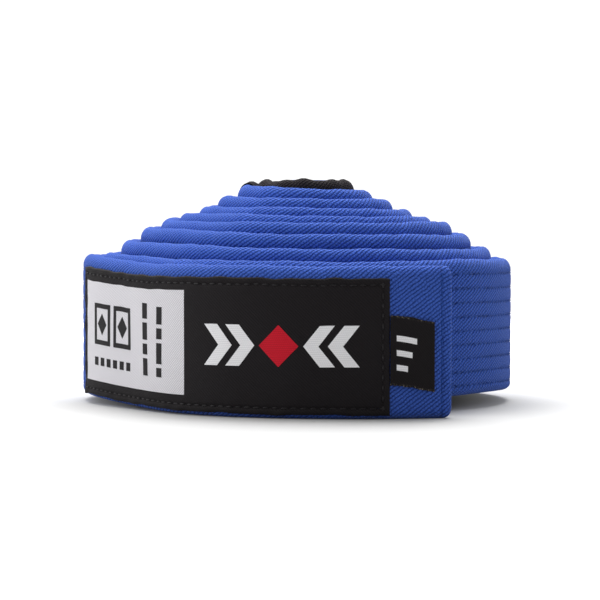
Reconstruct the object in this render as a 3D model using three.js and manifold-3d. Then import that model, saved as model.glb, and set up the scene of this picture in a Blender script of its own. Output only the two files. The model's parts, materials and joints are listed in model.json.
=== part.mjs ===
// A rolled martial arts belt: one quilted cotton strap, wound into a coil that stands on its edge
// and is pushed up in the middle, so that its turns step upwards like a low cone.
//
// The strap is a twill cover sewn round a batting core. Its free end lies across the front of the
// coil and carries a woven label and a folded size tab; a black rank sleeve wraps its other end.
// Units are millimetres and +Z is up. The free end faces -Y.

import * as THREE from 'three';
import { mergeVertices } from 'three/addons/utils/BufferGeometryUtils.js';
import Module from 'manifold-3d';

const wasm = await Module();
wasm.setup();

// Strap
const strapWidth = 45;
const strapThickness = 4.6;
const coverWall = 0.9; // two layers of twill
const fitGap = 0.3; // clearance between pieces that touch
const endHem = 3; // how far the cover is turned in at each end

// Coil, seen from above: angles are degrees of winding, clockwise from the front, growing inwards
const coilRadius = 69.6; // to the strap's middle, at the front
const turnGap = 1.7; // between one turn and the next
const innerRadius = 5;
const flatDepth = 0.09; // the coil is a little flattened at its front left
const flatAngle = 55;
const flatSharpness = 20;

// Free end: it leaves the coil at the left and stands off it more and more towards its tip
const tipAngle = -31;
const leaveAngle = 60;
const tipStandOff = 16;

// Climb: each turn stands higher than the one outside it
const climbPerTurn = 3.1;
const climbStart = 200;
const climbEnd = 3150;
const pushHeight = 2.2; // the middle turns are pushed up a little more
const pushAngle = 1300;
const pushSpread = 900;

// Where the strap is divided, so that it can peel open and its turns can slide past each other
const labelToPeel = 39.5; // from the label's end to where the free end hinges
const backAngle = 235;
const turnCount = 9; // whole turns where the coil has room for them, and then the inner end

// Woven label, its sewing thread and the size tab, on the outer face of the free end
const labelStart = 18.7; // from the tip of the belt
const labelLength = 122.8;
const labelBottom = 1.2; // margins below and above the label
const labelTopMargin = 3.6;
const labelThickness = 0.8;
const threadInset = 2; // from the label's edge to its row of stitches
const threadSize = 0.45;
const tabLength = 12.7;
const tabHeight = 20.4;
const tabBottom = 10;
const tabThickness = 0.8;

// Rank sleeve, round the strap near its inner end
const sleeveStart = 138; // from the inner end of the belt
const sleeveLength = 88;
const sleeveWall = 0.35;
const sleeveGap = 0.25;

const facetSag = 0.15; // how far a straight facet may cut inside the curve

const turnPitch = strapThickness + turnGap;
const innerAngle = 360 * (coilRadius - innerRadius) / turnPitch;
const turnAngle = Math.min(360, (innerAngle - 360) / turnCount);

// Distance from the coil's centre to the middle of the strap
function radiusAt(angle) {
  const spiral = coilRadius - turnPitch * angle / 360;
  const nearFlat = (1 + Math.cos(THREE.MathUtils.degToRad(angle - flatAngle))) / 2;
  const flattened = spiral * (1 - flatDepth * nearFlat ** flatSharpness);
  const away = Math.max(0, leaveAngle - angle) / (leaveAngle - tipAngle);
  return flattened + tipStandOff * away ** 2;
}

function climbAt(angle) {
  const wound = THREE.MathUtils.clamp(angle, climbStart, climbEnd) - climbStart;
  const fromPush = THREE.MathUtils.clamp((angle - pushAngle) / pushSpread, -1, 1);
  return climbPerTurn * wound / 360 + pushHeight * Math.cos(fromPush * Math.PI / 2) ** 2;
}

// The middle of the strap's lower edge, from the tip to the inner end
class BeltPath extends THREE.Curve {
  getPoint(t, target = new THREE.Vector3()) {
    const angle = THREE.MathUtils.lerp(tipAngle, innerAngle, t);
    const turned = THREE.MathUtils.degToRad(angle);
    const radius = radiusAt(angle);
    return target.set(-radius * Math.sin(turned), -radius * Math.cos(turned), climbAt(angle));
  }
}

const path = new BeltPath();
path.arcLengthDivisions = 4000;
const beltLength = path.getLength();

function parameterAt(angle) {
  return (angle - tipAngle) / (innerAngle - tipAngle);
}

// Winding angle at a distance along the strap from its tip
function angleAt(distance) {
  return THREE.MathUtils.lerp(tipAngle, innerAngle, path.getUtoTmapping(0, distance));
}

// Angle that a short distance along the strap spans
function angleOf(distance, angle) {
  return THREE.MathUtils.radToDeg(distance / radiusAt(angle));
}

// A point beside the path: offset outwards from the strap's middle, height above its lower edge
function beside(angle, offset, height) {
  const point = path.getPoint(parameterAt(angle));
  const along = path.getTangent(parameterAt(angle));
  along.setZ(0).normalize();
  return new THREE.Vector3(point.x - offset * along.y, point.y + offset * along.x, point.z + height);
}

// Cross-section of a strip that follows the strap
function strip(inner, outer, bottom, top) {
  const shape = new THREE.Shape();
  shape.moveTo(inner, bottom);
  shape.lineTo(outer, bottom);
  shape.lineTo(outer, top);
  shape.lineTo(inner, top);
  return shape;
}

// A closed solid: the section extruded straight, then laid along the belt's path
function alongBelt(section, from, to) {
  const middle = radiusAt((from + to) / 2);
  const facetAngle = THREE.MathUtils.radToDeg(2 * Math.acos(1 - facetSag / middle));
  const steps = Math.ceil((to - from) / facetAngle);
  const geometry = new THREE.ExtrudeGeometry(section, { depth: to - from, steps, bevelEnabled: false });
  const position = geometry.attributes.position;
  for (let i = 0; i < position.count; i += 1) {
    const point = beside(from + position.getZ(i), position.getX(i), position.getY(i));
    position.setXYZ(i, point.x, point.y, point.z);
  }
  geometry.deleteAttribute('normal');
  geometry.deleteAttribute('uv');
  const merged = mergeVertices(geometry, 1e-4);
  return new wasm.Manifold(new wasm.Mesh({
    numProp: 3,
    vertProperties: merged.attributes.position.array,
    triVerts: Uint32Array.from(merged.index.array),
  }));
}

function meshOf(name, solid, material) {
  const { vertProperties, triVerts } = solid.getMesh();
  const geometry = new THREE.BufferGeometry();
  geometry.setAttribute('position', new THREE.BufferAttribute(vertProperties, 3));
  geometry.setIndex(new THREE.BufferAttribute(triVerts, 1));
  geometry.computeVertexNormals();
  const mesh = new THREE.Mesh(geometry, material());
  mesh.name = name;
  return mesh;
}

const cotton = (color, roughness) => () => new THREE.MeshStandardMaterial({ color, roughness, metalness: 0 });
const blueTwill = cotton(0x3a56b4, 0.85);
const battingCotton = cotton(0xe9e4d8, 0.95);
const blackTwill = cotton(0x1b1a1c, 0.85);
const blackDamask = cotton(0x1d1b1e, 0.6);
const blackThread = cotton(0x141416, 0.5);
const blueThread = cotton(0x2f489e, 0.55);

const half = strapThickness / 2;
const peelAngle = angleAt(labelStart + labelLength + labelToPeel);
const belt = new THREE.Group();

// One length of the strap: a hollow cover, closed by its hem at the belt's own ends, and its core
function addStrap(name, from, to) {
  const atTip = from === tipAngle;
  const atInnerEnd = to === innerAngle;
  const start = from + (atTip ? 0 : angleOf(fitGap / 2, from));
  const end = to - (atInnerEnd ? 0 : angleOf(fitGap / 2, to));
  const hollowStart = start + (atTip ? angleOf(endHem, from) : -angleOf(1, from));
  const hollowEnd = end + (atInnerEnd ? -angleOf(endHem, to) : angleOf(1, to));
  const inside = half - coverWall;
  const outer = alongBelt(strip(-half, half, 0, strapWidth), start, end);
  const hollow = alongBelt(
    strip(-inside, inside, coverWall, strapWidth - coverWall),
    hollowStart,
    hollowEnd,
  );
  belt.add(meshOf(`cover_${name}`, outer.subtract(hollow), blueTwill));

  const filling = inside - fitGap;
  const core = alongBelt(
    strip(-filling, filling, coverWall + fitGap, strapWidth - coverWall - fitGap),
    atTip ? hollowStart + angleOf(fitGap, from) : start,
    atInnerEnd ? hollowEnd - angleOf(fitGap, to) : end,
  );
  belt.add(meshOf(`core_${name}`, core, battingCotton));
}

addStrap('free_end', tipAngle, peelAngle);
addStrap('outer_back', peelAngle, backAngle);
addStrap('turn_1', backAngle, 360);
for (let turn = 2; turn <= turnCount; turn += 1) {
  addStrap(`turn_${turn}`, 360 + turnAngle * (turn - 2), 360 + turnAngle * (turn - 1));
}
addStrap('inner_end', 360 + turnAngle * (turnCount - 1), innerAngle);

// Label, sewn flat on the outer face by one row of stitches round its edge
const labelFace = half + fitGap + labelThickness;
const labelFrom = angleAt(labelStart);
const labelTo = angleAt(labelStart + labelLength);
const labelTop = strapWidth - labelTopMargin;
const label = alongBelt(strip(half + fitGap, labelFace, labelBottom, labelTop), labelFrom, labelTo);
belt.add(meshOf('label', label, blackDamask));

const threadFrom = angleAt(labelStart + threadInset);
const threadTo = angleAt(labelStart + labelLength - threadInset);
const threadBase = labelFace + fitGap;
const threadLow = labelBottom + threadInset;
const threadHigh = labelTop - threadInset;

const threadWide = angleOf(threadSize, labelFrom);
const threadTop = threadBase + threadSize;
const labelThread = alongBelt(strip(threadBase, threadTop, threadLow, threadHigh), threadFrom, threadTo)
  .subtract(alongBelt(
    strip(threadBase - fitGap, threadTop + fitGap, threadLow + threadSize, threadHigh - threadSize),
    threadFrom + threadWide,
    threadTo - threadWide,
  ));
belt.add(meshOf('label_thread', labelThread, blackThread));

// Row of stitches that closes the hem at the tip
const hemFrom = angleAt(endHem);
const hemThread = alongBelt(
  strip(half + fitGap, half + fitGap + threadSize, threadInset, strapWidth - threadInset),
  hemFrom,
  hemFrom + angleOf(threadSize, hemFrom),
);
belt.add(meshOf('hem_thread', hemThread, blueThread));

// Size tab: a folded ribbon caught under the label's right edge, free to flap about that edge
const tabFrom = angleAt(labelStart - tabLength - fitGap);
const tabTo = angleAt(labelStart - fitGap);
const tabFace = half + fitGap + tabThickness;
const tab = alongBelt(
  strip(half + fitGap, tabFace, tabBottom, tabBottom + tabHeight),
  tabFrom,
  tabTo,
);
belt.add(meshOf('size_tab', tab, blackDamask));

// Rank sleeve: a black cotton sleeve sewn round the whole strap
const sleeveFrom = angleAt(beltLength - sleeveStart);
const sleeveTo = angleAt(beltLength - sleeveStart + sleeveLength);
const sleeveInside = half + sleeveGap;
const sleeveOutside = sleeveInside + sleeveWall;
const sleeveOverrun = 3;
const sleeve = alongBelt(
  strip(-sleeveOutside, sleeveOutside, half - sleeveOutside, strapWidth - half + sleeveOutside),
  sleeveFrom,
  sleeveTo,
).subtract(alongBelt(
  strip(-sleeveInside, sleeveInside, half - sleeveInside, strapWidth - half + sleeveInside),
  sleeveFrom - sleeveOverrun,
  sleeveTo + sleeveOverrun,
));
belt.add(meshOf('rank_sleeve', sleeve, blackTwill));

// The origin is under the middle of the whole object, on the surface it stands on
const box = new THREE.Box3().setFromObject(belt);
const middle = box.getCenter(new THREE.Vector3());
belt.position.set(-middle.x, -middle.y, -box.min.z);

// Vertical hinge lines: the strap opens about its outer face, the tab about its sewn edge
belt.userData.hinges = {
  free_end_peel: beside(peelAngle, half, 0).add(belt.position),
  outer_turn_peel: beside(backAngle, half, 0).add(belt.position),
  size_tab_flap: beside(tabTo, tabFace, tabBottom).add(belt.position),
};

export default belt;
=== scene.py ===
import json
import math

import bmesh
import bpy
import numpy as np
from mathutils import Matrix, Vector


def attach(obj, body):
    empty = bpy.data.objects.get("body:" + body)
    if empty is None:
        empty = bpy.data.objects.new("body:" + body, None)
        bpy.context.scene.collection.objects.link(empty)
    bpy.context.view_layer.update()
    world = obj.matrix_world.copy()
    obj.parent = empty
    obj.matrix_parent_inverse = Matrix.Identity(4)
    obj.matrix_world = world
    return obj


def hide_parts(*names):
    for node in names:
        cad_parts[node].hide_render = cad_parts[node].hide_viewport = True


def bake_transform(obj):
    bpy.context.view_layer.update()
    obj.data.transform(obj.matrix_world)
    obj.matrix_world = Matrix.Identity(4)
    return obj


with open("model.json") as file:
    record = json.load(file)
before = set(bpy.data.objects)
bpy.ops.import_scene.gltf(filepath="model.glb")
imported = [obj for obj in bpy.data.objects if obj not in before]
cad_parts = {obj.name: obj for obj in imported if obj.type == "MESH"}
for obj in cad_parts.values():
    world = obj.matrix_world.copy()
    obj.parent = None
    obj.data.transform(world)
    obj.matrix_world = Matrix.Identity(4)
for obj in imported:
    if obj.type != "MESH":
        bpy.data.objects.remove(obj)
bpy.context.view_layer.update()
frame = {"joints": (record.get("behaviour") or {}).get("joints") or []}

MM = 0.001


# ---------------------------------------------------------------------------------------------
# Strap: one length of cotton twill folded round batting and quilted lengthwise, then rolled up
# on its edge. Seen from above it winds clockwise inwards from its tip, and each turn stands a
# little higher than the one outside it.

STRAP_WIDTH = 45 * MM
STRAP_HALF = 2.85 * MM  # half its thickness; soft neighbouring turns nearly press together
TOP_ROUND, LOWER_ROUND = 4.0 * MM, 2.7 * MM  # heights of the rounded long edges
COIL_RADIUS = 69.6 * MM
TURN_PITCH = 6.3 * MM
INNER_RADIUS = 5 * MM
FLAT_DEPTH, FLAT_ANGLE, FLAT_SHARPNESS = 0.09, 55, 20  # the coil is pressed flatter front left
TIP_ANGLE, LEAVE_ANGLE, TIP_STAND_OFF = -31, 60, 16 * MM  # the free end stands off the coil
CLIMB_PER_TURN, CLIMB_START, CLIMB_END = 3.1 * MM, 200, 3150
PUSH_HEIGHT, PUSH_ANGLE, PUSH_SPREAD = 2.2 * MM, 1300, 900  # middle turns are pushed higher
BACK_ANGLE = 235  # where the outer turn's hinge stands, on its outer face
INNER_ANGLE = 360 * (COIL_RADIUS - INNER_RADIUS) / TURN_PITCH
CAD_HALF = 2.3 * MM  # half its thickness in the frame, where the hinge stands on its face


def radius_at(angle):
    """Distance from the coil's centre to the strap's middle, at a winding angle in degrees."""
    spiral = COIL_RADIUS - TURN_PITCH * angle / 360
    near_flat = (1 + np.cos(np.radians(angle - FLAT_ANGLE))) / 2
    away = np.maximum(0, LEAVE_ANGLE - angle) / (LEAVE_ANGLE - TIP_ANGLE)
    return spiral * (1 - FLAT_DEPTH * near_flat**FLAT_SHARPNESS) + TIP_STAND_OFF * away**2


def climb_at(angle):
    """How high the strap's lower edge stands above the table."""
    from_push = np.clip((angle - PUSH_ANGLE) / PUSH_SPREAD, -1, 1)
    pushed = PUSH_HEIGHT * np.cos(from_push * np.pi / 2) ** 2
    return CLIMB_PER_TURN * (np.clip(angle, CLIMB_START, CLIMB_END) - CLIMB_START) / 360 + pushed


def plan(angle):
    """Place of the strap's middle, seen from above, about the coil's centre."""
    turned, radius = np.radians(angle), radius_at(angle)
    return np.stack([-radius * np.sin(turned), -radius * np.cos(turned)], -1)


def outward(angle):
    """Unit vector, seen from above, square to the strap and away from the coil's centre."""
    along = plan(angle + 0.05) - plan(angle - 0.05)
    along /= np.linalg.norm(along, axis=-1, keepdims=True)
    return np.stack([-along[..., 1], along[..., 0]], -1)


angle_table = np.arange(TIP_ANGLE, INNER_ANGLE + 0.1, 0.1)
steps = np.linalg.norm(np.diff(plan(angle_table), axis=0), axis=1)
distance_table = np.concatenate([[0], np.cumsum(steps)])
BELT_LENGTH = distance_table[-1]


def angle_at(distance):
    return np.interp(distance, distance_table, angle_table)


def distance_at(angle):
    return np.interp(angle, angle_table, distance_table)


# The coil's centre follows from the hinge line that stands on the strap's outer face.
joints = {joint["name"]: joint for joint in frame["joints"]}
hinge = np.array(joints["outer_turn_peel"]["pos_m"][:2])
back = np.array(float(BACK_ANGLE))
CENTRE = hinge - plan(back) - CAD_HALF * outward(back)

# Handling: the strap's upper edge wavers, its lower edge is rolled up at the right, and it is
# lifted a little off the table at the left.
ROLLED_ANGLE, ROLLED_SPREAD, ROLLED_LIFT = 298, 52, 3.6 * MM
LIFTED_ANGLE, LIFTED_SPREAD, LIFTED = 88, 34, 2.1 * MM
UNEVEN, UNEVEN_WAVES = 0.42 * MM, (0.171, 0.067, 0.0291)  # wavelengths in metres
RIPPLE, RIPPLE_WAVES = 0.13 * MM, (0.0117, 0.0073)
SWAY, SWAY_WAVES = 0.22 * MM, (0.093, 0.037)
WAVE_SHIFT = 7.3  # in phase, from each wave to the next
WAVE_SCALE = 1.6  # brings the sum of two or three waves to about -1 to 1


def waver(distance, wavelengths, phase=0.0):
    """A smooth, uneven wave along the strap, from about -1 to 1."""
    total = 0
    for k, length in enumerate(wavelengths):
        size = math.sqrt(length / max(wavelengths))
        total = total + size * np.sin(2 * np.pi * distance / length + phase + WAVE_SHIFT * k)
    return total / WAVE_SCALE


def edge_lift(distance, height):
    """How far handling has pushed a point of the cloth up or down."""
    share = np.clip(height / STRAP_WIDTH, 0, 1)
    angle = angle_at(distance)
    rolled = ROLLED_LIFT * np.exp(-(((angle - ROLLED_ANGLE) / ROLLED_SPREAD) ** 2))
    lifted = LIFTED * np.exp(-(((angle - LIFTED_ANGLE) / LIFTED_SPREAD) ** 2))
    uneven = UNEVEN * waver(distance, UNEVEN_WAVES)
    ripple = RIPPLE * waver(distance, RIPPLE_WAVES, 2.1)
    return (uneven + ripple) * share**2 + rolled * (1 - share) ** 1.5 + lifted


def on_belt(distance, offset, height):
    """Points beside the strap: distance from its tip, offset outwards from its middle, height."""
    distance, offset, height = np.broadcast_arrays(distance, offset, height)
    angle = angle_at(distance)
    sway = SWAY * waver(distance, SWAY_WAVES, 0.8) * (height / STRAP_WIDTH)
    flat = plan(angle) + CENTRE + outward(angle) * (offset + sway)[..., None]
    up = climb_at(angle) + height + edge_lift(distance, height)
    return np.concatenate([flat, up[..., None]], -1)


# Quilting rows pull the cover down on to the batting. They start under the label.
ROW_COUNT = 9
ROW_LOWEST, ROW_HIGHEST = 3.6 * MM, 40.4 * MM
ROW_DEPTH = 0.34 * MM
ROW_SPREAD = 0.5 * MM
ROW_START, ROW_EASE = 24 * MM, 3 * MM  # the rows sink in gradually
row_heights = np.linspace(ROW_LOWEST, ROW_HIGHEST, ROW_COUNT)


def row_nearness(height):
    gaps = np.abs(np.asarray(height)[..., None] - row_heights)
    return np.exp(-((gaps.min(-1) / ROW_SPREAD) ** 2))


# The rank sleeve squeezes the strap thinner where it goes round it.
SLEEVE_LENGTH, SLEEVE_FROM_END = 88 * MM, 138 * MM
SLEEVE_START = BELT_LENGTH - SLEEVE_FROM_END
SLEEVE_END = SLEEVE_START + SLEEVE_LENGTH
SLEEVE_SQUEEZE, SLEEVE_EASE = 0.55 * MM, 4 * MM
THICKER, THICKER_WAVES = 0.09 * MM, (0.053, 0.019)
FOLD_ROUND, FOLD_SHARE = 1.5 * MM, 0.4  # each end thins towards this share at its fold
HEM_ROW = 3.3 * MM  # from each end of the belt to the stitches that close its hem
HEM_DEPTH, HEM_SPREAD = 0.45 * MM, 0.5 * MM
CORNER_ROUND = 2.2 * MM


def half_thickness(distance):
    """Half the strap's thickness: full, squeezed by the sleeve, and folded thin at both ends."""
    inside = np.clip((distance - SLEEVE_START) / SLEEVE_EASE + 0.5, 0, 1)
    inside *= np.clip((SLEEVE_END - distance) / SLEEVE_EASE + 0.5, 0, 1)
    half = STRAP_HALF - SLEEVE_SQUEEZE * inside + THICKER * waver(distance, THICKER_WAVES, 4.0)
    end = np.minimum(distance, BELT_LENGTH - distance)
    fold = np.sqrt(1 - (1 - np.clip(end / FOLD_ROUND, 0.02, 1)) ** 2)
    hem_row = HEM_DEPTH * np.exp(-(((end - HEM_ROW) / HEM_SPREAD) ** 2))
    return half * (FOLD_SHARE + (1 - FOLD_SHARE) * fold) - hem_row


ROUND_POINTS = 10  # on each rounded long edge
ROW_POINTS = np.array([-1.5, -0.75, -0.3, 0, 0.3, 0.75, 1.5]) * MM  # across each quilting row
POINT_GAP = 0.1 * MM  # the least there is between the rows' points and the rounded edges


def strap_section():
    """The strap's outline as (side, height, length round it): up its outer face, over its top
    edge, down its inner face and under its lower edge. Side runs from 1, outer, to -1, inner."""
    rows = (row_heights[:, None] + ROW_POINTS).ravel()
    low, high = LOWER_ROUND, STRAP_WIDTH - TOP_ROUND
    rows = rows[(rows > low + POINT_GAP) & (rows < high - POINT_GAP)]
    face = np.concatenate([[low], rows, [high]])
    turn = np.linspace(0, np.pi, ROUND_POINTS + 2)[1:-1]
    side = np.concatenate([np.ones(len(face)), np.cos(turn), -np.ones(len(face)), -np.cos(turn)])
    height = np.concatenate([
        face, high + TOP_ROUND * np.sin(turn), face[::-1], low - LOWER_ROUND * np.sin(turn)
    ])
    points = np.stack([side * STRAP_HALF, height], 1)
    gaps = np.linalg.norm(np.diff(np.vstack([points, points[:1]]), axis=0), axis=1)
    return side, height, np.concatenate([[0], np.cumsum(gaps)])


def new_object(name, data):
    """Puts a mesh, a light or a camera in the scene."""
    made = bpy.data.objects.new(name, data)
    bpy.context.scene.collection.objects.link(made)
    return made


def there_and_back(front, back):
    """Rings that go up a piece's front and come down its back."""
    return np.concatenate([front, back[:, ::-1]], axis=1)


SHARP_ANGLE = 60  # degrees between two faces, past which their edge shows


def tube(name, grid, along, around, materials, seam=None, face_material=None):
    """A closed solid from rings of points, grid[ring, point], with a cap at both ends. Its UVs
    are the lengths along it and round its rings, in metres, per ring or per point."""
    rings, count = grid.shape[:2]
    i, j = np.meshgrid(np.arange(rings - 1), np.arange(count), indexing="ij")
    k = (j + 1) % count
    corners = [i * count + j, i * count + k, (i + 1) * count + k, (i + 1) * count + j]
    quads = np.stack(corners, -1).reshape(-1, 4).tolist()
    along, around = np.asarray(along), np.asarray(around)
    along = np.broadcast_to(along if along.ndim == 2 else along[:, None], (rings, count + 1))
    places = np.stack([along, np.broadcast_to(around, (rings, count + 1))], -1)
    uvs = np.stack([places[i, j], places[i, j + 1], places[i + 1, j + 1], places[i + 1, j]], -2)
    first, last = list(range(count))[::-1], list(range((rings - 1) * count, rings * count))
    uvs = np.vstack([uvs.reshape(-1, 2), places[0, :count][::-1], places[-1, :count]])
    mesh = bpy.data.meshes.new(name)
    mesh.from_pydata(grid.reshape(-1, 3).tolist(), [], quads + [first, last])
    layer = mesh.uv_layers.new(name="cloth")
    layer.data.foreach_set("uv", uvs.astype(np.float32).ravel())
    for material in materials:
        mesh.materials.append(material)
    if face_material is not None:
        mesh.polygons.foreach_set("material_index", np.append(face_material.ravel(), [0, 0]))
    if seam is not None:
        values = mesh.attributes.new("seam", "FLOAT", "POINT")
        values.data.foreach_set("value", np.asarray(seam, np.float32).ravel())
    shape = bmesh.new()
    shape.from_mesh(mesh)
    bmesh.ops.recalc_face_normals(shape, faces=shape.faces)
    shape.to_mesh(mesh)
    shape.free()
    mesh.polygons.foreach_set("use_smooth", [True] * len(mesh.polygons))
    mesh.set_sharp_from_angle(angle=math.radians(SHARP_ANGLE))
    return new_object(name, mesh)


# Cloth materials are built node by node.
def linear(code):
    """An sRGB hex colour as linear red, green, blue and alpha."""
    parts = [int(code[k:k + 2], 16) / 255 for k in (1, 3, 5)]
    return [p / 12.92 if p <= 0.04045 else ((p + 0.055) / 1.055) ** 2.4 for p in parts] + [1]


def add(tree, kind, settings=None, **inputs):
    """Adds a node, sets its properties, and sets or links its inputs by name or number."""
    node = tree.nodes.new(kind)
    for key, value in (settings or {}).items():
        setattr(node, key, value)
    for key, value in inputs.items():
        place = int(key[1:]) if key[1:].isdigit() else key.replace("_", " ")
        socket = node.inputs[place]
        if isinstance(value, bpy.types.NodeSocket):
            tree.links.new(value, socket)
        else:
            socket.default_value = value
    return node


def new_material(name):
    material = bpy.data.materials.new(name)
    material.use_nodes = True
    material.node_tree.nodes.clear()
    return material, material.node_tree


def maths(tree, operation, a, b=0.0, c=0.0):
    return add(tree, "ShaderNodeMath", {"operation": operation}, _0=a, _1=b, _2=c).outputs[0]


def mixed(tree, factor, a, b):
    """A blend of two colours, from a at factor 0 to b at factor 1."""
    return add(tree, "ShaderNodeMix", {"data_type": "RGBA"}, _0=factor, _6=a, _7=b).outputs[2]


def cloth_coordinates(tree):
    """The cloth's own coordinates, and its length and width apart, in millimetres."""
    uv = add(tree, "ShaderNodeUVMap", {"uv_map": "cloth"}).outputs[0]
    scaled = add(tree, "ShaderNodeVectorMath", {"operation": "SCALE"}, _0=uv, _3=1 / MM).outputs[0]
    split = add(tree, "ShaderNodeSeparateXYZ", _0=scaled)
    return scaled, split.outputs[0], split.outputs[1]


def noise(tree, place, scale, detail=2.0):
    node = add(tree, "ShaderNodeTexNoise", None, Vector=place, Scale=scale, Detail=detail)
    return node.outputs[0]


RIB_WANDER = 0.35  # scale of the noise that makes ribs wander, per mm
RIB_SHARPNESS = 0.8
FLOAT_STAGGER = 0.37  # of a float's length, from each rib to the next
FLOAT_DIP = 0.45  # how far a float's ends dip below its middle


def twill_height(tree, place, along, across, rib, slant, float_length, unevenness):
    """Relief of a twill weave, 0 to 1: slanting ribs, each made of short floats of yarn. The
    ribs' spacing and the floats' length are in millimetres."""
    cos, sin = math.cos(math.radians(slant)), math.sin(math.radians(slant))
    rise = maths(tree, "MULTIPLY", across, cos / rib)
    rib_place = maths(tree, "MULTIPLY_ADD", along, sin / rib, rise)
    rib_place = maths(tree, "MULTIPLY_ADD", noise(tree, place, RIB_WANDER), unevenness, rib_place)
    wave = maths(tree, "SINE", maths(tree, "MULTIPLY", rib_place, math.pi))
    ridge = maths(tree, "POWER", maths(tree, "ABSOLUTE", wave), RIB_SHARPNESS)
    run = maths(tree, "MULTIPLY", across, sin / float_length)
    run = maths(tree, "MULTIPLY_ADD", along, -cos / float_length, run)
    run = maths(tree, "MULTIPLY_ADD", maths(tree, "FLOOR", rib_place), FLOAT_STAGGER, run)
    bead = maths(tree, "ABSOLUTE", maths(tree, "SINE", maths(tree, "MULTIPLY", run, math.pi)))
    bead = maths(tree, "MULTIPLY_ADD", bead, FLOAT_DIP, 1 - FLOAT_DIP)
    return maths(tree, "MULTIPLY", ridge, bead)


TWILL_FLOAT, TWILL_WANDER = 0.95, 0.9
# RIB_LIGHT paints highlight on the ribs and shade in the grooves; FUZZ_LIGHT is random tone.
FUZZ_LIGHT, RIB_LIGHT, LIGHT_SHIFT = 1.6, 1.1, -0.79  # how far fuzz and ribs lighten the cloth
WORN_SCALE, WORN_SHARE = 0.045, 0.34
# Painted shade in the sunk quilting rows and hem rows, broken up by noise.
SUNK_SCALE, SUNK_CONTRAST, SUNK_SHIFT = 0.14, 2.6, -0.95  # the sunk rows are dark only in places
TWILL_RELIEF, FUZZ_RELIEF = 0.34 * MM, 0.6


def twill_cotton(name, deep, raised, worn, row_shade, rib, slant, sheen):
    """Brushed cotton twill: dull, with a soft sheen from its fibres, ribs painted lighter than the
    grooves between them as painted highlight and painted shade, painted shade where stitching
    sinks in, and a colour a little uneven from dye and handling. The ribs are drawn a little
    coarser than the real ones, so that they show."""
    material, tree = new_material(name)
    place, along, across = cloth_coordinates(tree)
    relief = twill_height(
        tree, place, along, across, rib / MM, slant, TWILL_FLOAT, TWILL_WANDER
    )
    fuzz = noise(tree, place, 2.5, 4.0)
    seam = add(tree, "ShaderNodeAttribute", {"attribute_name": "seam"}).outputs[2]
    # Painted highlight and painted shade: the colour runs from deep in the grooves to raised on
    # the ribs as the relief rises; the fuzz adds random tone.
    thread_light = maths(tree, "MULTIPLY_ADD", relief, RIB_LIGHT, LIGHT_SHIFT)
    thread_light = maths(tree, "MULTIPLY_ADD", fuzz, FUZZ_LIGHT, thread_light)
    colour = mixed(tree, thread_light, linear(deep), linear(raised))
    patches = maths(tree, "MULTIPLY", noise(tree, place, WORN_SCALE, 5.0), WORN_SHARE)
    colour = mixed(tree, patches, colour, linear(worn))
    # Painted shade: along the sunk quilting rows and the hem rows the colour is darkened towards
    # row_shade, more in some places than others.
    uneven = noise(tree, place, SUNK_SCALE)
    uneven = maths(tree, "MULTIPLY_ADD", uneven, SUNK_CONTRAST, SUNK_SHIFT)
    sunk_shade = add(
        tree, "ShaderNodeMath", {"operation": "MULTIPLY", "use_clamp": True},
        _0=maths(tree, "POWER", seam, 2.0), _1=uneven,
    ).outputs[0]
    colour = mixed(tree, sunk_shade, colour, linear(row_shade))
    height = maths(tree, "MULTIPLY_ADD", fuzz, FUZZ_RELIEF, relief)
    bump = add(tree, "ShaderNodeBump", None, Strength=1.0, Distance=TWILL_RELIEF, Height=height)
    shader = add(
        tree, "ShaderNodeBsdfPrincipled", None,
        Base_Color=colour, Roughness=0.9, Sheen_Weight=0.4, Sheen_Roughness=0.25,
        Sheen_Tint=linear(sheen), Normal=bump.outputs[0],
    )
    shader.inputs["Specular IOR Level"].default_value = 0.1
    add(tree, "ShaderNodeOutputMaterial", None, Surface=shader.outputs[0])
    return material


blue_twill = twill_cotton(
    "blue cotton twill",
    deep="#06195c", raised="#4569cc", worn="#4465b8", row_shade="#06123c",
    rib=1.05 * MM, slant=38, sheen="#9fb0e0",
)


# The strap's lengths, from the tip inwards. Each rides on a body, or lies between two and rides on
# neither.
PEEL_PLACE = 181 * MM  # from the tip to the free end's hinge
PEEL_ANGLE = float(angle_at(PEEL_PLACE))
PEEL_SPREAD = 24  # the free end bends this far on each side of its hinge
PEEL_START, PEEL_END = PEEL_ANGLE - PEEL_SPREAD, PEEL_ANGLE + PEEL_SPREAD
BACK_SPREAD = 46  # the outer turn bends only before its hinge, clear of the turn inside it
BACK_START = BACK_ANGLE - BACK_SPREAD
BEND_MARGIN = 2  # degrees at each end of a bend that stay rigid
QUARTER = 90  # the strap slopes from one turn to the next a quarter turn each side of the front
SLOPE_SHARE = 0.85  # of the radius, on each side of the front, over which the slope is spread
TURN_COUNT = 9


def turn_name(turn):
    return f"turn_{turn}"


def bend_points(low, high):
    """Start and end of a bend between two winding angles, as points in the frame."""
    return [tuple(plan(np.array(float(a))) + CENTRE) + (0.0,) for a in (low, high)]


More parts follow.
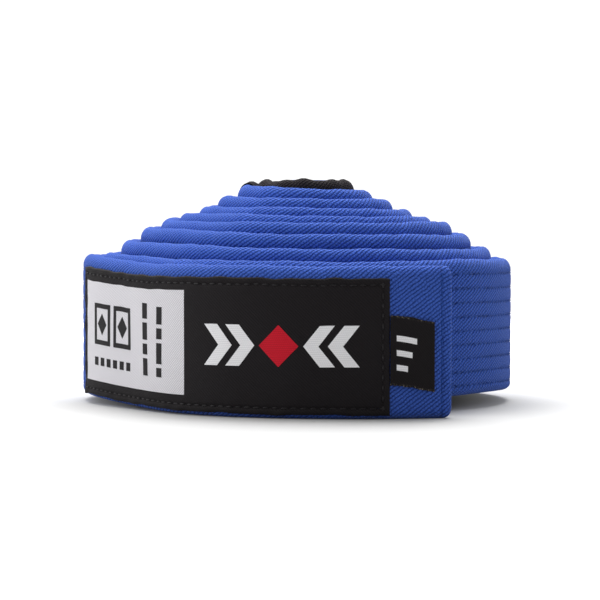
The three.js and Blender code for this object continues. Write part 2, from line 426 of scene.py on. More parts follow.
# Each length's name, first and last winding angle, bodies, and the start and end of its bend.
lengths = [
    ("free_end", TIP_ANGLE, PEEL_START, ["free_end"], None),
    (
        "left_bend", PEEL_START, PEEL_END, ["free_end", "outer_back"],
        bend_points(PEEL_START + BEND_MARGIN, PEEL_END - BEND_MARGIN),
    ),
    ("outer_back", PEEL_END, BACK_START, ["outer_back"], None),
    (
        "right_bend", BACK_START, BACK_ANGLE, ["outer_back", "turn_1"],
        bend_points(BACK_START + BEND_MARGIN, BACK_ANGLE - BEND_MARGIN),
    ),
    ("turn_1", BACK_ANGLE, 360 - QUARTER, ["turn_1"], None),
]
for turn in range(2, TURN_COUNT + 1):
    start = 360 * (turn - 1)
    reach = SLOPE_SHARE * float(radius_at(np.array(float(start))))
    crossing = [(CENTRE[0] + reach, 0, 0), (CENTRE[0] - reach, 0, 0)]
    bodies = [turn_name(turn - 1), turn_name(turn)]
    lengths.append((f"front_{turn}", start - QUARTER, start + QUARTER, bodies, crossing))
    end = INNER_ANGLE if turn == TURN_COUNT else start + 360 - QUARTER
    lengths.append((turn_name(turn), start + QUARTER, end, [turn_name(turn)], None))


def carry(piece, bodies, bend):
    """Ties a finished piece to its body; a piece that lies between two bodies is left on neither,
    with its place baked into its mesh.
    """
    if bend is None:
        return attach(piece, bodies[0])
    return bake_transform(piece)


RING_STEP, RING_ANGLE = 2 * MM, 5
END_ZONE = 6 * MM  # within this of each end of the belt, the rings are close together
fold_rings = np.linspace(0, 1, 9) ** 1.5 * 1.6
hem_rings = np.arange(1.9, 5.5, 0.35)
end_rings = np.concatenate([fold_rings, hem_rings]) * MM


def ring_distances(low, high):
    """Where the rings of a length go: every 2 mm or 5 degrees, and closer at the belt's ends."""
    start, end = float(distance_at(low)), float(distance_at(high))
    count = round(max((end - start) / RING_STEP, (high - low) / RING_ANGLE))
    places = np.linspace(start, end, count + 1)
    if low == TIP_ANGLE:
        places = np.concatenate([end_rings, places[places > END_ZONE]])
    if high == INNER_ANGLE:
        places = places[places < BELT_LENGTH - END_ZONE]
        places = np.concatenate([places, (BELT_LENGTH - end_rings)[::-1]])
    return places


# Painted shade along each hem row, darkest on it.
HEM_SHADE, HEM_SHADE_SPREAD = 0.9, 0.35 * MM


def strap_length(name, low, high):
    side, height, around = strap_section()
    distance = ring_distances(low, high)[:, None]
    half = half_thickness(distance)
    end = np.minimum(distance, BELT_LENGTH - distance)
    short_of_round = CORNER_ROUND - np.minimum(end, CORNER_ROUND)
    corner = CORNER_ROUND - np.sqrt(CORNER_ROUND**2 - short_of_round**2)
    from_middle = height[None, :] - STRAP_WIDTH / 2
    shape_height = STRAP_WIDTH / 2 + from_middle * (1 - corner / (STRAP_WIDTH / 2))
    quilted = np.clip((distance - ROW_START) / ROW_EASE, 0, 1)
    on_face = np.abs(side) > 0.99
    near_row = row_nearness(height)[None, :] * quilted * on_face
    offset = side[None, :] * (half - ROW_DEPTH * near_row)
    # The seam attribute marks where painted shade goes: the sunk quilting rows and the hem rows.
    at_hem = np.exp(-(((end - HEM_ROW) / HEM_SHADE_SPREAD) ** 2))
    seam = np.maximum(near_row, HEM_SHADE * at_hem)
    grid = on_belt(distance, offset, shape_height)
    return tube(f"strap_{name}", grid, distance[:, 0], around, [blue_twill], seam)


# The lengths of cover and core that each length here stands for. The innermost has two.
cad_covers = {"free_end": ["free_end"], "outer_back": ["outer_back"], "turn_1": ["turn_1"]}
for turn in range(2, TURN_COUNT + 1):
    cad_covers[turn_name(turn)] = [turn_name(turn)]
cad_covers[turn_name(TURN_COUNT)].append("inner_end")

for name, low, high, bodies, bend in lengths:
    strap = strap_length(name, low, high)
    carry(strap, bodies, bend)
    for length in cad_covers.get(name, []):
        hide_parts(f"cover_{length}", f"core_{length}")


# ---------------------------------------------------------------------------------------------
# Quilting and hem stitches: lockstitch in spun polyester thread of the strap's colour. Nine rows
# run along both faces and hold the batting still, and one row across each end closes its hem.

STITCH_PITCH = 2.8 * MM
STITCH_LENGTH = 2.2 * MM
THREAD_THICKNESS = 0.42 * MM
THREAD_RISE = 0.16 * MM  # of a stitch's middle above the bottom of its row
ROW_END_GAP = 5 * MM
HEM_MARGIN, HEM_RISE = 2.6 * MM, 0.1 * MM
SEAM_POINTS = 40  # across the strap
HEM_SEED = 50


def lockstitch_tree():
    """Geometry Nodes that lay one stitch after another along every seam line."""
    tree = bpy.data.node_groups.new("lockstitch", "GeometryNodeTree")
    sockets = (
        ("Seams", "NodeSocketGeometry"), ("Pitch", "NodeSocketFloat"),
        ("Stitch length", "NodeSocketFloat"), ("Thread thickness", "NodeSocketFloat"),
        ("Seed", "NodeSocketInt"), ("Thread", "NodeSocketMaterial"),
    )
    for name, kind in sockets:
        tree.interface.new_socket(name, in_out="INPUT", socket_type=kind)
    tree.interface.new_socket("Stitches", in_out="OUTPUT", socket_type="NodeSocketGeometry")
    given = add(tree, "NodeGroupInput").outputs
    line = add(tree, "GeometryNodeMeshToCurve", None, Mesh=given["Seams"]).outputs[0]
    spaced = add(
        tree, "GeometryNodeResampleCurve", {"mode": "LENGTH"}, Curve=line, Length=given["Pitch"]
    )
    tangent = add(tree, "GeometryNodeInputTangent").outputs[0]
    turned = add(
        tree, "FunctionNodeAlignRotationToVector", {"axis": "X"}, Vector=tangent
    ).outputs[0]
    long, thick = given["Stitch length"], given["Thread thickness"]
    size = add(tree, "ShaderNodeCombineXYZ", None, X=long, Y=thick, Z=thick).outputs[0]
    vary = add(
        tree, "FunctionNodeRandomValue", {"data_type": "FLOAT_VECTOR"},
        Min=(0.85, 0.85, 0.85), Max=(1.08, 1.1, 1.1), Seed=given["Seed"],
    ).outputs[0]
    scale = add(
        tree, "ShaderNodeVectorMath", {"operation": "MULTIPLY"}, _0=size, _1=vary
    ).outputs[0]
    stitch = add(
        tree, "GeometryNodeMeshUVSphere", None, Segments=6, Rings=4, Radius=0.5
    ).outputs[0]
    laid = add(
        tree, "GeometryNodeInstanceOnPoints", None,
        Points=spaced.outputs[0], Instance=stitch, Rotation=turned, Scale=scale,
    ).outputs[0]
    real = add(tree, "GeometryNodeRealizeInstances", None, Geometry=laid).outputs[0]
    smooth = add(tree, "GeometryNodeSetShadeSmooth", None, Geometry=real).outputs[0]
    dyed = add(tree, "GeometryNodeSetMaterial", None, Geometry=smooth, Material=given["Thread"])
    add(tree, "NodeGroupOutput", None, Stitches=dyed.outputs[0])
    return tree


lockstitch = lockstitch_tree()


def stitches(
    name, seams, thread, seed,
    pitch=STITCH_PITCH, length=STITCH_LENGTH, thickness=THREAD_THICKNESS,
):
    """A mesh of stitches along seam lines, each an array of points."""
    ends = np.cumsum([0] + [len(seam) for seam in seams])
    edges = [(k, k + 1) for a, b in zip(ends[:-1], ends[1:]) for k in range(a, b - 1)]
    lines = bpy.data.meshes.new(f"{name}_lines")
    lines.from_pydata(np.vstack(seams).tolist(), edges, [])
    sewn = new_object(f"{name}_lines", lines)
    modifier = sewn.modifiers.new("lockstitch", "NODES")
    modifier.node_group = lockstitch
    values = {
        "Pitch": pitch, "Stitch length": length, "Thread thickness": thickness,
        "Seed": seed, "Thread": thread,
    }
    for item in lockstitch.interface.items_tree:
        if item.name in values:
            modifier[item.identifier] = values[item.name]
    evaluated = sewn.evaluated_get(bpy.context.evaluated_depsgraph_get())
    mesh = bpy.data.meshes.new_from_object(evaluated)
    mesh.name = name
    bpy.data.objects.remove(sewn)
    return new_object(name, mesh)


FIBRE_SCALE, FIBRE_RELIEF = 2600.0, 0.05 * MM  # flecks of fibre about 0.4 mm apart


def sewing_thread(name, shade, lit, roughness):
    """Twisted polyester thread: smoother and a little glossier than the cloth it lies on."""
    material, tree = new_material(name)
    place = add(tree, "ShaderNodeTexCoord").outputs["Object"]
    fibres = noise(tree, place, FIBRE_SCALE, 3.0)
    colour = mixed(tree, fibres, linear(shade), linear(lit))
    bump = add(tree, "ShaderNodeBump", None, Strength=0.5, Distance=FIBRE_RELIEF, Height=fibres)
    shader = add(
        tree, "ShaderNodeBsdfPrincipled", None,
        Base_Color=colour, Roughness=roughness, Normal=bump.outputs[0],
    )
    shader.inputs["Specular IOR Level"].default_value = 0.3
    add(tree, "ShaderNodeOutputMaterial", None, Surface=shader.outputs[0])
    return material


blue_thread = sewing_thread("blue sewing thread", "#163c8e", "#2455ac", 0.6)


def face_row(distance, height, side):
    """A seam line on the strap's face, from arrays of distances and heights."""
    sunk_shade = half_thickness(distance) - ROW_DEPTH + THREAD_RISE
    return on_belt(distance, side * sunk_shade, height)


for number, (name, low, high, bodies, bend) in enumerate(lengths):
    distance = ring_distances(low, high)
    distance = distance[(distance > ROW_START) & (distance < BELT_LENGTH - ROW_END_GAP)]
    seams = [face_row(distance, height, side) for height in row_heights for side in (1, -1)]
    quilting = stitches(f"quilting_{name}", seams, blue_thread, seed=number)
    carry(quilting, bodies, bend)

across = np.linspace(HEM_MARGIN, STRAP_WIDTH - HEM_MARGIN, SEAM_POINTS)
hem_places = {
    "tip": (HEM_ROW, "free_end"),
    "inner": (BELT_LENGTH - HEM_ROW, turn_name(TURN_COUNT)),
}
for name, (place, body) in hem_places.items():
    seams = [
        on_belt(place, side * (half_thickness(place) + HEM_RISE), across) for side in (1, -1)
    ]
    hem = stitches(f"hem_stitches_{name}", seams, blue_thread, seed=HEM_SEED)
    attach(hem, body)
    if name == "tip":
        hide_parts("hem_thread")


# ---------------------------------------------------------------------------------------------
# Rank sleeve: a strip of black cotton drill wrapped round the strap near its inner end, its long
# edges meeting under the strap, and sewn through near both ends. Stripes go on it.

SLEEVE_GAP = 0.12 * MM
SLEEVE_WALL = 0.45 * MM
SLEEVE_RINGS = 74
SLEEVE_SEAM = 2 * MM  # from each end of the sleeve to its stitches
SLEEVE_THREAD, SLEEVE_SEED = 0.4 * MM, 60
CREASE, CREASE_WAVES = 0.42 * MM, (0.0091, 0.0053, 0.0163)
BULGE, BULGE_WAVES = 0.22 * MM, (0.0127, 0.0071)
black_drill = twill_cotton(
    "black cotton drill",
    deep="#0d0c0d", raised="#2b272a", worn="#332e31", row_shade="#060606",
    rib=0.8 * MM, slant=45, sheen="#4a4649",
)


def sleeve_surface(distance, side, height, gap):
    """The strap's outline pushed out by a gap, wrinkled most along its upper edge."""
    share = np.clip(height / STRAP_WIDTH, 0, 1)
    crease = CREASE * waver(distance, CREASE_WAVES, 1.3) * share**6
    bulge = BULGE * waver(distance, BULGE_WAVES, 0.4) * share**3
    taller = STRAP_WIDTH / 2 + (height - STRAP_WIDTH / 2) * (1 + 2 * gap / STRAP_WIDTH)
    on_edge = np.abs(side) < 0.99
    offset = side * (half_thickness(distance) + gap) + bulge * on_edge
    return on_belt(distance, offset, taller + crease)


side, height, around = strap_section()
seam_gap = 2  # points left out each side of the seam under the lower edge
start = len(side) - ROUND_POINTS // 2 + seam_gap
order = (np.arange(len(side) - 2 * seam_gap) + start) % len(side)
side, height = side[order], height[order]
distance = np.linspace(SLEEVE_START, SLEEVE_END, SLEEVE_RINGS)[:, None]
outer = sleeve_surface(distance, side[None, :], height[None, :], SLEEVE_GAP + SLEEVE_WALL)
inner = sleeve_surface(distance, side[None, :], height[None, :], SLEEVE_GAP)
around = np.concatenate([[0], np.cumsum(np.hypot(np.diff(side) * STRAP_HALF, np.diff(height)))])
around = np.concatenate([around, around[::-1] + 0.2, [0.0]])
sleeve = tube(
    "rank_sleeve_cloth", there_and_back(outer, inner), distance[:, 0], around, [black_drill]
)
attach(sleeve, turn_name(TURN_COUNT))
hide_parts("rank_sleeve")

black_thread = sewing_thread("black sewing thread", "#030303", "#2b272b", 0.4)
seams = [
    sleeve_surface(np.full_like(across, place), float(side), across, SLEEVE_GAP + SLEEVE_WALL)
    for place in (SLEEVE_START + SLEEVE_SEAM, SLEEVE_END - SLEEVE_SEAM)
    for side in (1, -1)
]
sleeve_sewing = stitches(
    "rank_sleeve_stitches", seams, black_thread, SLEEVE_SEED, thickness=SLEEVE_THREAD
)
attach(sleeve_sewing, turn_name(TURN_COUNT))


# ---------------------------------------------------------------------------------------------
# Label: black damask with a woven white panel, sewn flat to the free end's outer face round its
# edge. Its woven marks are plain geometric ones.

LABEL_START, LABEL_END = 18.7 * MM, 141.5 * MM
LABEL_BOTTOM, LABEL_TOP = 1.2 * MM, 41.4 * MM
LABEL_BACK, LABEL_FRONT = 0.03 * MM, 0.72 * MM  # above the strap's face
LABEL_SEAM = 2.0 * MM
LABEL_PITCH, LABEL_STITCH, LABEL_THREAD, LABEL_SEED = 2.9 * MM, 2.3 * MM, 0.55 * MM, 70
LABEL_THREAD_RISE = 0.1 * MM
EDGE_DROP, EDGE_REACH = 0.42 * MM, 0.22 * MM
SEAM_DEPTH, SEAM_SPREAD = 0.34 * MM, 0.45 * MM
PUCKER, PUCKER_WAVES, PUCKER_REACH = 0.18 * MM, (0.0083, 0.0057), 3 * MM
SLACK, SLACK_WAVES, SLACK_REACH = 0.16 * MM, (0.041, 0.023), 6 * MM
EDGE_WAVE, EDGE_WAVES = 0.22 * MM, (0.031, 0.0113, 0.0069)
PANEL_START, PANEL_END = 81.2 * MM, 138 * MM
PANEL_BOTTOM, PANEL_TOP = 6.0 * MM, 37.3 * MM


def label_inset(distance, height):
    """How far inside the label's nearest edge a point is."""
    from_ends = np.minimum(distance - LABEL_START, LABEL_END - distance)
    return np.minimum(from_ends, np.minimum(height - LABEL_BOTTOM, LABEL_TOP - height))


def label_face(distance, height):
    """Offset of the label's face: rounded at its folded edge and drawn down along its seam."""
    inset = label_inset(distance, height)
    rounded = EDGE_DROP * np.exp(-np.maximum(inset, 0) / EDGE_REACH)
    drawn_down = SEAM_DEPTH * np.exp(-(((inset - LABEL_SEAM) / SEAM_SPREAD) ** 2))
    pucker = PUCKER * waver(distance + 0.8 * height, PUCKER_WAVES, 0.6)
    pucker = pucker * np.exp(-np.maximum(inset, 0) / PUCKER_REACH)
    slack = SLACK * waver(distance - 0.5 * height, SLACK_WAVES, 1.9)
    slack = slack * np.clip(inset / SLACK_REACH, 0, 1)
    return half_thickness(distance) + LABEL_FRONT - rounded - drawn_down + pucker + slack


SATIN_FLOAT, SATIN_WANDER, SATIN_RELIEF = 0.6, 0.25, 0.08 * MM


def woven_satin(name, ground, lit, yarn, line, slant, roughness, strength):
    """Damask woven in fine polyester: a smooth face with slanting satin lines, painted lighter on
    the lines and darker between them as painted highlight and painted shade. The real lines are
    about 0.3 mm apart and are drawn coarser, so that they show."""
    material, tree = new_material(name)
    place, along, across = cloth_coordinates(tree)
    relief = twill_height(
        tree, place, along, across, line / MM, slant, SATIN_FLOAT, SATIN_WANDER
    )
    fibres = noise(tree, place, 5.0, 3.0)
    broad = noise(tree, place, 0.09, 2.0)
    # Painted highlight and painted shade: the colour runs from ground between the satin lines to
    # lit on them; the fibres add random tone, and broad patches shift it towards yarn.
    light = maths(tree, "MULTIPLY_ADD", relief, 0.7, maths(tree, "MULTIPLY", fibres, 0.45))
    colour = mixed(tree, light, linear(ground), linear(lit))
    colour = mixed(tree, maths(tree, "MULTIPLY", broad, 0.2), colour, linear(yarn))
    height = maths(tree, "MULTIPLY_ADD", fibres, 0.3, relief)
    bump = add(
        tree, "ShaderNodeBump", None, Strength=strength, Distance=SATIN_RELIEF, Height=height
    )
    shader = add(
        tree, "ShaderNodeBsdfPrincipled", None,
        Base_Color=colour, Roughness=roughness, Sheen_Weight=0.03, Normal=bump.outputs[0],
    )
    shader.inputs["Specular IOR Level"].default_value = 0.15
    add(tree, "ShaderNodeOutputMaterial", None, Surface=shader.outputs[0])
    return material


black_damask = woven_satin(
    "black damask", ground="#0a0809", lit="#1f1b1e", yarn="#161315",
    line=0.7 * MM, slant=135, roughness=0.7, strength=0.9,
)
white_satin = woven_satin(
    "off-white satin", ground="#8e8c97", lit="#f4f2f5", yarn="#cfcdd4",
    line=0.62 * MM, slant=45, roughness=0.6, strength=0.8,
)


def weft(name, ground, lit, yarn, strength=0.4):
    """The yarn of a woven mark. Its satin lines run along the strap."""
    return woven_satin(name, ground, lit, yarn, 0.55 * MM, 0, 0.6, strength)


white_weft = weft("white weft", ground="#cfced3", lit="#fafafb", yarn="#e6e5e9")
red_weft = weft("red weft", ground="#a50d20", lit="#d8182f", yarn="#c01329")
black_weft = weft("black weft", ground="#0d0c0d", lit="#232023", yarn="#191719", strength=0.5)

# Lines of points on the label: close together at its edges and seam, and on the panel's edges.
near_edge = np.array([0, 0.2, 0.5, 1.0, 1.4, 1.75, 2.0, 2.25, 2.6, 3.2, 4.2]) * MM
middle_lines = np.arange(LABEL_START + 6 * MM, LABEL_END - 5 * MM, 1.8 * MM)
distance = np.unique(np.concatenate([
    LABEL_START + near_edge, middle_lines[np.abs(middle_lines - PANEL_START) > 0.6 * MM],
    [PANEL_START, PANEL_END], LABEL_END - near_edge[:-2],
]))
middle_lines = np.arange(LABEL_BOTTOM + 5.6 * MM, LABEL_TOP - 5 * MM, 1.5 * MM)
height = np.unique(np.concatenate([
    LABEL_BOTTOM + near_edge, middle_lines, [PANEL_BOTTOM, PANEL_TOP], LABEL_TOP - near_edge[:-1],
]))
edge_wave = EDGE_WAVE * waver(distance, EDGE_WAVES, 0.2)[:, None]
from_centre = 2 * (height - LABEL_BOTTOM) / (LABEL_TOP - LABEL_BOTTOM) - 1
wavy_height = height + edge_wave * from_centre**8
front = on_belt(distance[:, None], label_face(distance[:, None], height[None, :]), wavy_height)
back = on_belt(distance[:, None], half_thickness(distance[:, None]) + LABEL_BACK, wavy_height)
panel = (distance[:-1, None] > PANEL_START - 1e-6) & (distance[1:, None] < PANEL_END + 1e-6)
panel = panel & (height[None, :-1] > PANEL_BOTTOM - 1e-6) & (height[None, 1:] < PANEL_TOP + 1e-6)
face_material = np.zeros((len(distance) - 1, 2 * len(height)), int)
face_material[:, :len(height) - 1] = panel
around = np.concatenate([height, (height[::-1] + 0.1), [0.0]])
label = tube(
    "label_cloth", there_and_back(front, back), distance, around,
    [black_damask, white_satin], face_material=face_material,
)
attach(label, "free_end")
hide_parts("label")


def band(low_edge, high_edge, start, end, columns=14):
    """A mark between two edges that are functions of distance, as grids of distance and height."""
    distance = np.linspace(start, end, columns)[:, None]
    share = np.linspace(0, 1, 6)[None, :]
    low, high = low_edge(distance), high_edge(distance)
    return np.broadcast_to(distance, (columns, 6)), low + (high - low) * share


MARK_RAISED = 0.08 * MM


def woven_marks(name, shapes, face, thread):
    """Marks woven into a label, standing just proud of its face, as one mesh."""
    parts = []
    for number, (distance, height) in enumerate(shapes):
        offset = face(distance, height)
        front = on_belt(distance, offset + MARK_RAISED, height)
        back = on_belt(distance, offset - MARK_RAISED, height)
        rings = there_and_back(front, back)
        along = np.concatenate([distance, distance[:, ::-1], distance[:, :1]], axis=1)
        around = np.concatenate([height, height[:, ::-1], height[:, :1]], axis=1)
        parts.append(tube(f"{name}_{number}", rings, along, around, [thread]))
    with bpy.context.temp_override(active_object=parts[0], selected_editable_objects=parts):
        bpy.ops.object.join()
    parts[0].name = name
    return parts[0]


def level(value):
    return lambda distance: np.full_like(distance, value)


def slope(start, end, low, high):
    return lambda distance: low + (high - low) * (distance - start) / (end - start)


# Emblem on the black ground: two chevrons on each side point to a red diamond.
EMBLEM_MIDDLE = 50.5 * MM
EMBLEM_BOTTOM, EMBLEM_TOP = 15.4 * MM, 27.6 * MM
CHEVRON_PLACES = (7.2 * MM, 14.2 * MM)  # of their points, from the emblem's middle
ARM_WIDTH, POINT_REACH = 4.3 * MM, 4.7 * MM
DIAMOND_HALF, POINT_HALF = 5.7 * MM, 0.1 * MM  # half widths in the middle and at the points
emblem_height = (EMBLEM_BOTTOM + EMBLEM_TOP) / 2


def chevron(inner_point, direction):
    """Two slanting arms that meet at a point towards the diamond."""
    arms = []
    for edge in (EMBLEM_BOTTOM, EMBLEM_TOP):
        rows = np.linspace(emblem_height, edge, 10)[:, None]
        reach = np.abs(rows - emblem_height) / (EMBLEM_TOP - emblem_height)
        columns = np.linspace(0, ARM_WIDTH, 5)[None, :]
        distance = inner_point + direction * (reach * POINT_REACH + columns)
        arms.append((distance, np.broadcast_to(rows, distance.shape)))
    return arms


emblem = []
for place in CHEVRON_PLACES:
    emblem += chevron(EMBLEM_MIDDLE + place, 1) + chevron(EMBLEM_MIDDLE - place, -1)
emblem_marks = woven_marks("label_emblem", emblem, label_face, white_weft)
diamond_rows = np.linspace(EMBLEM_BOTTOM, EMBLEM_TOP, 21)[:, None]
narrowing = 1 - np.abs(diamond_rows - emblem_height) / (EMBLEM_TOP - emblem_height)
diamond_half = DIAMOND_HALF * narrowing + POINT_HALF
diamond_distance = EMBLEM_MIDDLE + diamond_half * np.linspace(-1, 1, 7)[None, :]
diamond = (diamond_distance, np.broadcast_to(diamond_rows, diamond_distance.shape))
diamond_mark = woven_marks("label_diamond", [diamond], label_face, red_weft)

# Panel marks: two framed diamonds, a row of squares below them, and two broken lines beside them.
FRAME_BOTTOM, FRAME_TOP, FRAME_LINE = 17.6 * MM, 30.6 * MM, 1.5 * MM
FRAME_STARTS, FRAME_WIDTH = (109.2 * MM, 121.6 * MM), 10.4 * MM
INNER_WIDE, INNER_HIGH, INNER_POINT = 2.8 * MM, 3.4 * MM, 0.1 * MM  # of the framed diamonds
SQUARE_COUNT, SQUARE_START, SQUARE_PITCH, SQUARE_WIDTH = 6, 109.4, 4, 2.4  # millimetres
SQUARE_BOTTOM, SQUARE_TOP = 11.0 * MM, 13.6 * MM
LINE_WIDTH, LINE_GAP = 2.6, 1.2  # millimetres
LINE_BREAKS = {98.6: (10.0, 16.5, 21.0, 27.5, 33.5), 91.0: (10.0, 14.0, 21.5, 26.0, 32.5)}
panel_shapes = []
for start in FRAME_STARTS:
    end = start + FRAME_WIDTH
    middle, centre = (start + end) / 2, (FRAME_BOTTOM + FRAME_TOP) / 2
    left, right = middle - INNER_WIDE, middle + INNER_WIDE
    low, high, point = centre - INNER_HIGH, centre + INNER_HIGH, centre + INNER_POINT
    inside = (start + FRAME_LINE, end - FRAME_LINE)
    panel_shapes += [
        band(level(FRAME_BOTTOM), level(FRAME_TOP), start, start + FRAME_LINE, 4),
        band(level(FRAME_BOTTOM), level(FRAME_TOP), end - FRAME_LINE, end, 4),
        band(level(FRAME_BOTTOM), level(FRAME_BOTTOM + FRAME_LINE), *inside),
        band(level(FRAME_TOP - FRAME_LINE), level(FRAME_TOP), *inside),
        band(slope(left, middle, centre, low), slope(left, middle, point, high), left, middle),
        band(slope(middle, right, low, centre), slope(middle, right, high, point), middle, right),
    ]
for number in range(SQUARE_COUNT):
    start = (SQUARE_START + SQUARE_PITCH * number) * MM
    end = start + SQUARE_WIDTH * MM
    panel_shapes.append(band(level(SQUARE_BOTTOM), level(SQUARE_TOP), start, end, 4))
for place, breaks in LINE_BREAKS.items():
    start = place * MM
    end = start + LINE_WIDTH * MM
    for low, high in zip(breaks[:-1], breaks[1:]):
        low, high = (low + LINE_GAP / 2) * MM, (high - LINE_GAP / 2) * MM
        panel_shapes.append(band(level(low), level(high), start, end, 4))
panel_marks = woven_marks("label_panel_marks", panel_shapes, label_face, black_weft)

for marks in (emblem_marks, diamond_mark, panel_marks):
    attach(marks, "free_end")

seam_distance = np.arange(LABEL_START + LABEL_SEAM, LABEL_END - LABEL_SEAM, 1 * MM)
seam_height = np.arange(LABEL_BOTTOM + LABEL_SEAM, LABEL_TOP - LABEL_SEAM, 1 * MM)
seams = [
    on_belt(seam_distance, label_face(seam_distance, height) + LABEL_THREAD_RISE, height)
    for height in (LABEL_BOTTOM + LABEL_SEAM, LABEL_TOP - LABEL_SEAM)
] + [
    on_belt(place, label_face(place, seam_height) + LABEL_THREAD_RISE, seam_height)
    for place in (LABEL_START + LABEL_SEAM, LABEL_END - LABEL_SEAM)
]
label_sewing = stitches(
    "label_stitches", seams, black_thread, LABEL_SEED, LABEL_PITCH, LABEL_STITCH, LABEL_THREAD
)
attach(label_sewing, "free_end")
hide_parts("label_thread")


# ---------------------------------------------------------------------------------------------
# Size tab: a short black ribbon folded double, its two raw ends caught under the label's edge.
# Its cut sides show a few pale frayed ends.

TAB_LENGTH = 12.7 * MM
TAB_BOTTOM, TAB_TOP = 10.2 * MM, 30.7 * MM
TAB_DROP = 1.9 * MM  # how much lower the fold hangs than the seam
RIBBON = 0.3 * MM
LAYER_GAP, SEAM_SHARE = 0.42 * MM, 0.4  # between its layers at the fold, and share at the seam
TAB_CURL, TAB_STAND_OFF, SEAM_CLEAR = 0.5 * MM, 0.1 * MM, 0.15 * MM
TAB_EDGE, TAB_EDGE_WAVES = 0.25 * MM, (0.0107, 0.0041)
seam_place = LABEL_START - SEAM_CLEAR
fold_place = LABEL_START - TAB_LENGTH


def tab_height(distance, height, layer):
    """Height on the tab, sloping down to the fold, with wavering cut edges."""
    share = np.clip((seam_place - distance) / TAB_LENGTH, 0, 1)
    edge = TAB_EDGE * waver(distance, TAB_EDGE_WAVES, 1.7 * layer)
    edge = edge * np.abs(2 * (height - TAB_BOTTOM) / (TAB_TOP - TAB_BOTTOM) - 1) ** 6
    return height - TAB_DROP * share**2 * (3 - 2 * share) + edge


def layer_gap(share):
    """Gap between the tab's layers, at a share of the way from its seam to its fold."""
    return LAYER_GAP * (SEAM_SHARE + (1 - SEAM_SHARE) * share)


def tab_face(distance, height):
    """Offset of the upper layer's outer side, which is the same at every height."""
    share = np.clip((seam_place - distance) / TAB_LENGTH, 0, 1)
    layers = RIBBON * 1.5 + layer_gap(share)
    return half_thickness(distance) + TAB_STAND_OFF + layers + TAB_CURL * share**3


flat_run = np.linspace(seam_place, fold_place + LAYER_GAP / 2, 12)
turn = np.linspace(-90, 90, 9)[1:-1]
path_distance = np.concatenate([
    flat_run, fold_place + LAYER_GAP / 2 * (1 - np.cos(np.radians(turn))), flat_run[::-1]
])
lower = tab_face(flat_run, 0) - RIBBON / 2 - layer_gap(np.linspace(0, 1, len(flat_run)))
upper = tab_face(flat_run, 0) - RIBBON / 2
turn_offset = (lower[-1] + upper[-1]) / 2 + (upper[-1] - lower[-1]) / 2 * np.sin(np.radians(turn))
path_offset = np.concatenate([lower, turn_offset, upper[::-1]])
step_distance, step_offset = np.gradient(path_distance), np.gradient(path_offset)
step = np.hypot(step_distance, step_offset)
normal_distance, normal_offset = -step_offset / step, step_distance / step
layer = np.linspace(0, 1, len(path_distance))
tab_heights = np.linspace(TAB_BOTTOM, TAB_TOP, 22)
sides = []
for way in (1, -1):
    distance = (path_distance + way * normal_distance * RIBBON / 2)[:, None]
    offset = (path_offset + way * normal_offset * RIBBON / 2)[:, None]
    height = tab_height(path_distance[:, None], tab_heights[None, :], layer[:, None])
    sides.append(on_belt(distance, offset, height))
around = np.concatenate([tab_heights, tab_heights[::-1], [TAB_BOTTOM]]) - TAB_BOTTOM


def frayed_ribbon(name):
    """Fine black ribbon whose cut sides have pale loose ends."""
    material = woven_satin(
        name, ground="#080708", lit="#1f1b1d", yarn="#151214",
        line=0.6 * MM, slant=135, roughness=0.75, strength=0.9,
    )
    tree = material.node_tree
    shader = next(node for node in tree.nodes if node.type == "BSDF_PRINCIPLED")
    place, across = cloth_coordinates(tree)[::2]
    width = (TAB_TOP - TAB_BOTTOM) / MM
    from_side = maths(tree, "MINIMUM", across, maths(tree, "SUBTRACT", width, across))
    near_side = add(tree, "ShaderNodeMapRange", None, _0=from_side, _1=0.1, _2=0.7, _3=1.0, _4=0.0)
    ends = add(tree, "ShaderNodeMapRange", None, _0=noise(tree, place, 2.2, 3.0), _1=0.52, _2=0.66)
    frayed = maths(tree, "MULTIPLY", near_side.outputs[0], ends.outputs[0])
    base = shader.inputs["Base Color"]
    pale = mixed(tree, frayed, base.links[0].from_socket, linear("#8d877c"))
    tree.links.new(pale, base)
    return material


ribbon_steps = np.hypot(np.diff(path_distance), np.diff(path_offset))
tab = tube(
    "size_tab_ribbon", there_and_back(*sides), np.concatenate([[0], np.cumsum(ribbon_steps)]),
    around, [frayed_ribbon("black ribbon")],
)
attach(tab, "size_tab")
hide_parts("size_tab")

# Size mark: three bars, each longer than the one below it.
BAR_REACHES, BAR_GAP, BAR_WIDTH = (3.2, 4.5, 5.8), 1.9, 1.7 * MM
BAR_START, BAR_PITCH = 14.6, 4.3
size_shapes = []
for number, reach in enumerate(BAR_REACHES):
    low = (BAR_START + BAR_PITCH * number) * MM
    rows = np.linspace(low, low + BAR_WIDTH, 4)[None, :]
    fold_side, seam_side = LABEL_START - (BAR_GAP + reach) * MM, LABEL_START - BAR_GAP * MM
    distance = np.linspace(fold_side, seam_side, 8)[:, None]
    size_shapes.append((np.broadcast_to(distance, (8, 4)), np.broadcast_to(rows, (8, 4))))
size_shapes = [(d, tab_height(d, h, 1.0)) for d, h in size_shapes]
size_mark = woven_marks("size_mark", size_shapes, tab_face, white_weft)
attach(size_mark, "size_tab")


# ---------------------------------------------------------------------------------------------
# Stage: the camera, a pale table top, and soft light from above and behind, from the left and
# from the sky.

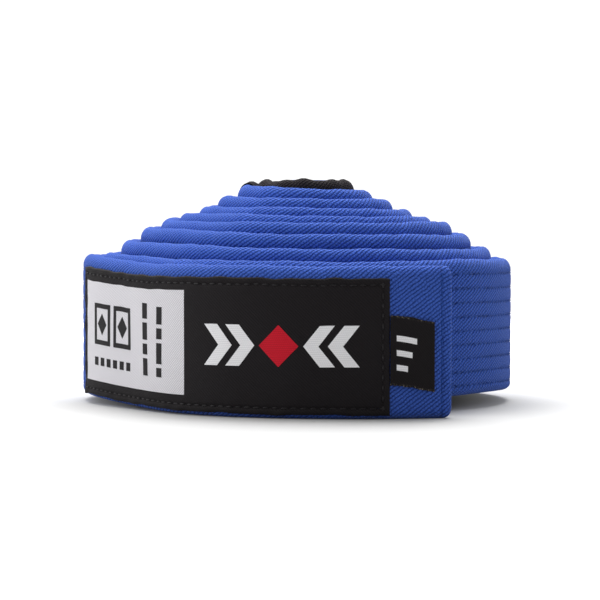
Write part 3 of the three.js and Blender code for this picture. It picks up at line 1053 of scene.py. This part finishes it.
LENS, CAMERA_AWAY, CAMERA_HEIGHT, CAMERA_TILT = 168.6, 0.905, 0.066, 2.14
camera_data = bpy.data.cameras.new("camera")
camera = new_object("camera", camera_data)
camera_data.lens = LENS
camera_data.sensor_width = 36
camera_data.clip_end = 20
camera.location = (CENTRE[0], CENTRE[1] - CAMERA_AWAY, CAMERA_HEIGHT)
camera.rotation_euler = (math.radians(90 - CAMERA_TILT), 0, 0)
bpy.context.scene.camera = camera

FLOOR_HALF = 0.6
corners = [(x * FLOOR_HALF, y * FLOOR_HALF, 0) for x, y in ((-1, -1), (1, -1), (1, 1), (-1, 1))]
floor_mesh = bpy.data.meshes.new("table")
floor_mesh.from_pydata(corners, [], [(0, 1, 2, 3)])
floor = new_object("table", floor_mesh)
floor_material, tree = new_material("pale table top")

# Where the table top is seen, it glows away from the belt, and sooner to the sides, so that it
# fades into the white sky round the belt's shadow. Where it lights the belt, it is a plain grey.
WIDER = (2, 1, 1)
GLOW_NEAR, GLOW_FAR, GLOW_LEAST, GLOW_MOST = 0.1, 0.45, 0.02, 0.8
place = add(tree, "ShaderNodeTexCoord").outputs["Object"]
place = add(
    tree, "ShaderNodeVectorMath", {"operation": "MULTIPLY"}, _0=place, _1=WIDER
).outputs[0]
reach = add(tree, "ShaderNodeVectorMath", {"operation": "LENGTH"}, _0=place).outputs["Value"]
glow = add(
    tree, "ShaderNodeMapRange", None,
    _0=reach, _1=GLOW_NEAR, _2=GLOW_FAR, _3=GLOW_LEAST, _4=GLOW_MOST,
).outputs[0]
camera_ray = add(tree, "ShaderNodeLightPath").outputs["Is Camera Ray"]
shader = add(
    tree, "ShaderNodeBsdfPrincipled", None, Roughness=0.95,
    Base_Color=mixed(tree, camera_ray, linear("#a8a8a8"), linear("#bababa")),
    Emission_Color=linear("#ffffff"), Emission_Strength=maths(tree, "MULTIPLY", glow, camera_ray),
)
shader.inputs["Specular IOR Level"].default_value = 0.0
add(tree, "ShaderNodeOutputMaterial", None, Surface=shader.outputs[0])
floor_mesh.materials.append(floor_material)


def soft_light(name, place, target, size, power):
    data = bpy.data.lights.new(name, "AREA")
    data.size, data.energy = size, power
    light = new_object(name, data)
    light.location = place
    light.rotation_euler = (Vector(target) - Vector(place)).to_track_quat("-Z", "Y").to_euler()


middle = (0, 0, 0.035)
soft_light("overhead", (-0.05, 0.5, 0.95), middle, 1.0, 27)
soft_light("left", (-0.85, -0.2, 0.5), middle, 1.0, 4.5)

# The sky is white where it is seen, and lights the belt more from both sides than from the front.
world = bpy.data.worlds.new("studio")
world.use_nodes = True
tree = world.node_tree
tree.nodes.clear()
SKY_FRONT, SKY_RIGHT, SKY_SIDES, SKY_SEEN = 0.3, 0.08, 0.7, 1.1
WHITE = (1, 1, 1, 1)
direction = add(tree, "ShaderNodeTexCoord").outputs["Generated"]
to_right = add(tree, "ShaderNodeSeparateXYZ", None, _0=direction).outputs[0]
sides = maths(tree, "MULTIPLY", maths(tree, "MULTIPLY", to_right, to_right), SKY_SIDES)
strength = maths(tree, "MULTIPLY_ADD", to_right, SKY_RIGHT, SKY_FRONT)
strength = maths(tree, "ADD", strength, sides)
lighting = add(tree, "ShaderNodeBackground", None, Color=WHITE, Strength=strength).outputs[0]
seen = add(tree, "ShaderNodeBackground", None, Color=WHITE, Strength=SKY_SEEN).outputs[0]
camera_ray = add(tree, "ShaderNodeLightPath").outputs["Is Camera Ray"]
both = add(tree, "ShaderNodeMixShader", None, _0=camera_ray, _1=lighting, _2=seen).outputs[0]
add(tree, "ShaderNodeOutputWorld", None, Surface=both)
bpy.context.scene.world = world
bpy.context.scene.view_settings.view_transform = "Standard"
